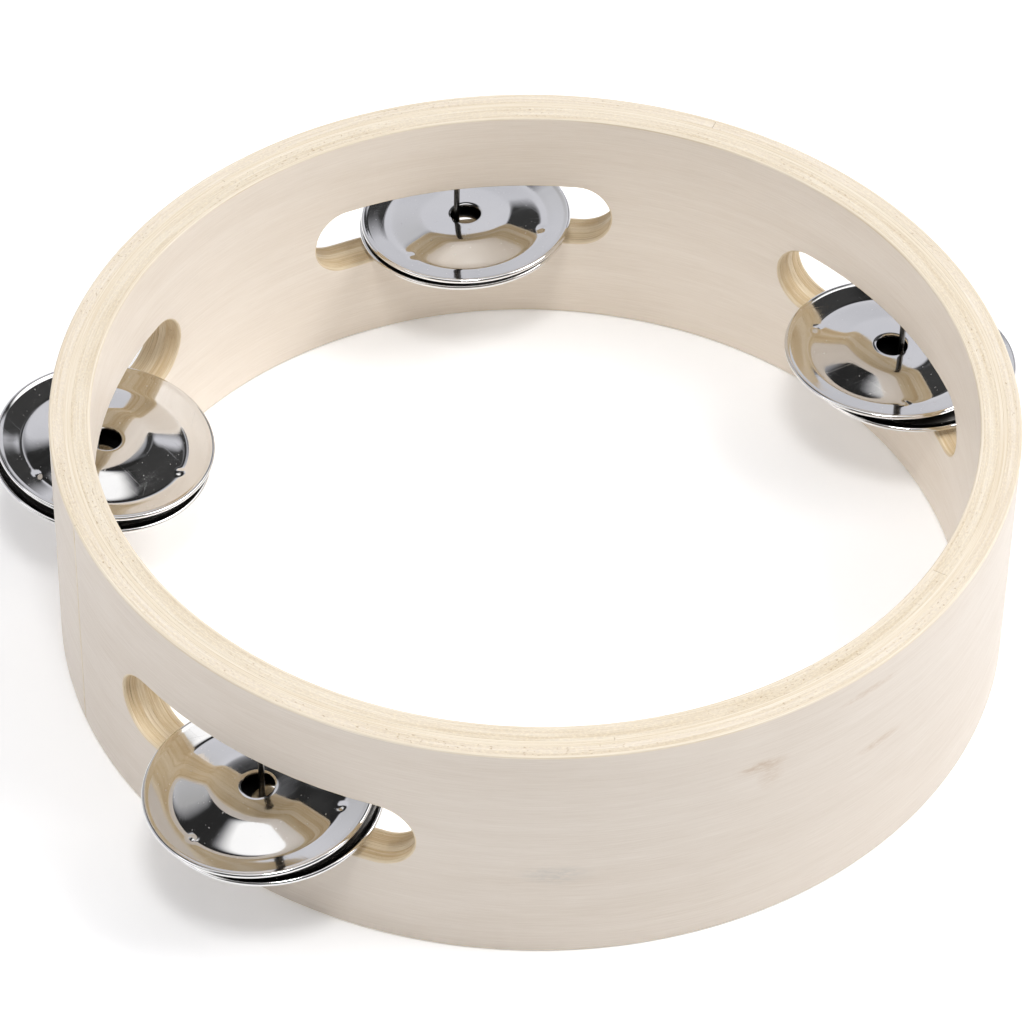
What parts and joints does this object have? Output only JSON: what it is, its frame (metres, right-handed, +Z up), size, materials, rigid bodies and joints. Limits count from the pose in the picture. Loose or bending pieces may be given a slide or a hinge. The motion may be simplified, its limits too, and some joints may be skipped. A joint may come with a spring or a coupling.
{
  "type": "tambourine",
  "caption": "Headless wooden tambourine: a bent plywood hoop with round-ended slots, upright steel pins and loose pairs of stamped metal jingles, with a plain stretch left for the hand.",
  "frame": {"origin": "on the hoop's axis in the plane of its lower edge, the box's bottom centre to within 0.9 mm", "axes": "+Z up along the hoop's axis, +Y away from the plain stretch that the hand holds, +X to the right; the slots lie evenly to each side of the YZ plane"},
  "size_m": [0.177, 0.1515, 0.042],
  "materials": {
    "birch_veneer": "pale sanded veneer, unvarnished",
    "poplar_core": "sawn and sanded edge, open grain",
    "nickel_plate": "bright nickel plate with fine scratches",
    "pin_steel": "plain drawn wire"
  },
  "bodies": {
    "hoop": {"outer_face_veneer": "birch_veneer", "outer_core_ply": "poplar_core", "outer_backing_veneer": "birch_veneer", "inner_backing_veneer": "birch_veneer", "inner_core_ply": "poplar_core", "inner_face_veneer": "birch_veneer", "front_right_pin": "pin_steel", "back_right_pin": "pin_steel", "back_left_pin": "pin_steel", "front_left_pin": "pin_steel"},
    "front_right_lower_jingle": {"front_right_lower_jingle": "nickel_plate"},
    "front_right_upper_jingle": {"front_right_upper_jingle": "nickel_plate"},
    "back_right_lower_jingle": {"back_right_lower_jingle": "nickel_plate"},
    "back_right_upper_jingle": {"back_right_upper_jingle": "nickel_plate"},
    "back_left_lower_jingle": {"back_left_lower_jingle": "nickel_plate"},
    "back_left_upper_jingle": {"back_left_upper_jingle": "nickel_plate"},
    "front_left_lower_jingle": {"front_left_lower_jingle": "nickel_plate"},
    "front_left_upper_jingle": {"front_left_upper_jingle": "nickel_plate"}
  },
  "joints": [
    {"name": "front_right_lower_jingle_slide", "type": "slide", "parent": "hoop", "child": "front_right_lower_jingle", "axis": [0, 0, 1], "range_m": [0, 0.0033]},
    {"name": "front_right_upper_jingle_slide", "type": "slide", "parent": "front_right_lower_jingle", "child": "front_right_upper_jingle", "axis": [0, 0, 1], "range_m": [0, 0.0033]},
    {"name": "back_right_lower_jingle_slide", "type": "slide", "parent": "hoop", "child": "back_right_lower_jingle", "axis": [0, 0, 1], "range_m": [0, 0.0033]},
    {"name": "back_right_upper_jingle_slide", "type": "slide", "parent": "back_right_lower_jingle", "child": "back_right_upper_jingle", "axis": [0, 0, 1], "range_m": [0, 0.0033]},
    {"name": "back_left_lower_jingle_slide", "type": "slide", "parent": "hoop", "child": "back_left_lower_jingle", "axis": [0, 0, 1], "range_m": [0, 0.0032]},
    {"name": "back_left_upper_jingle_slide", "type": "slide", "parent": "back_left_lower_jingle", "child": "back_left_upper_jingle", "axis": [0, 0, 1], "range_m": [0, 0.0032]},
    {"name": "front_left_lower_jingle_slide", "type": "slide", "parent": "hoop", "child": "front_left_lower_jingle", "axis": [0, 0, 1], "range_m": [0, 0.0032]},
    {"name": "front_left_upper_jingle_slide", "type": "slide", "parent": "front_left_lower_jingle", "child": "front_left_upper_jingle", "axis": [0, 0, 1], "range_m": [0, 0.0032]}
  ]
}
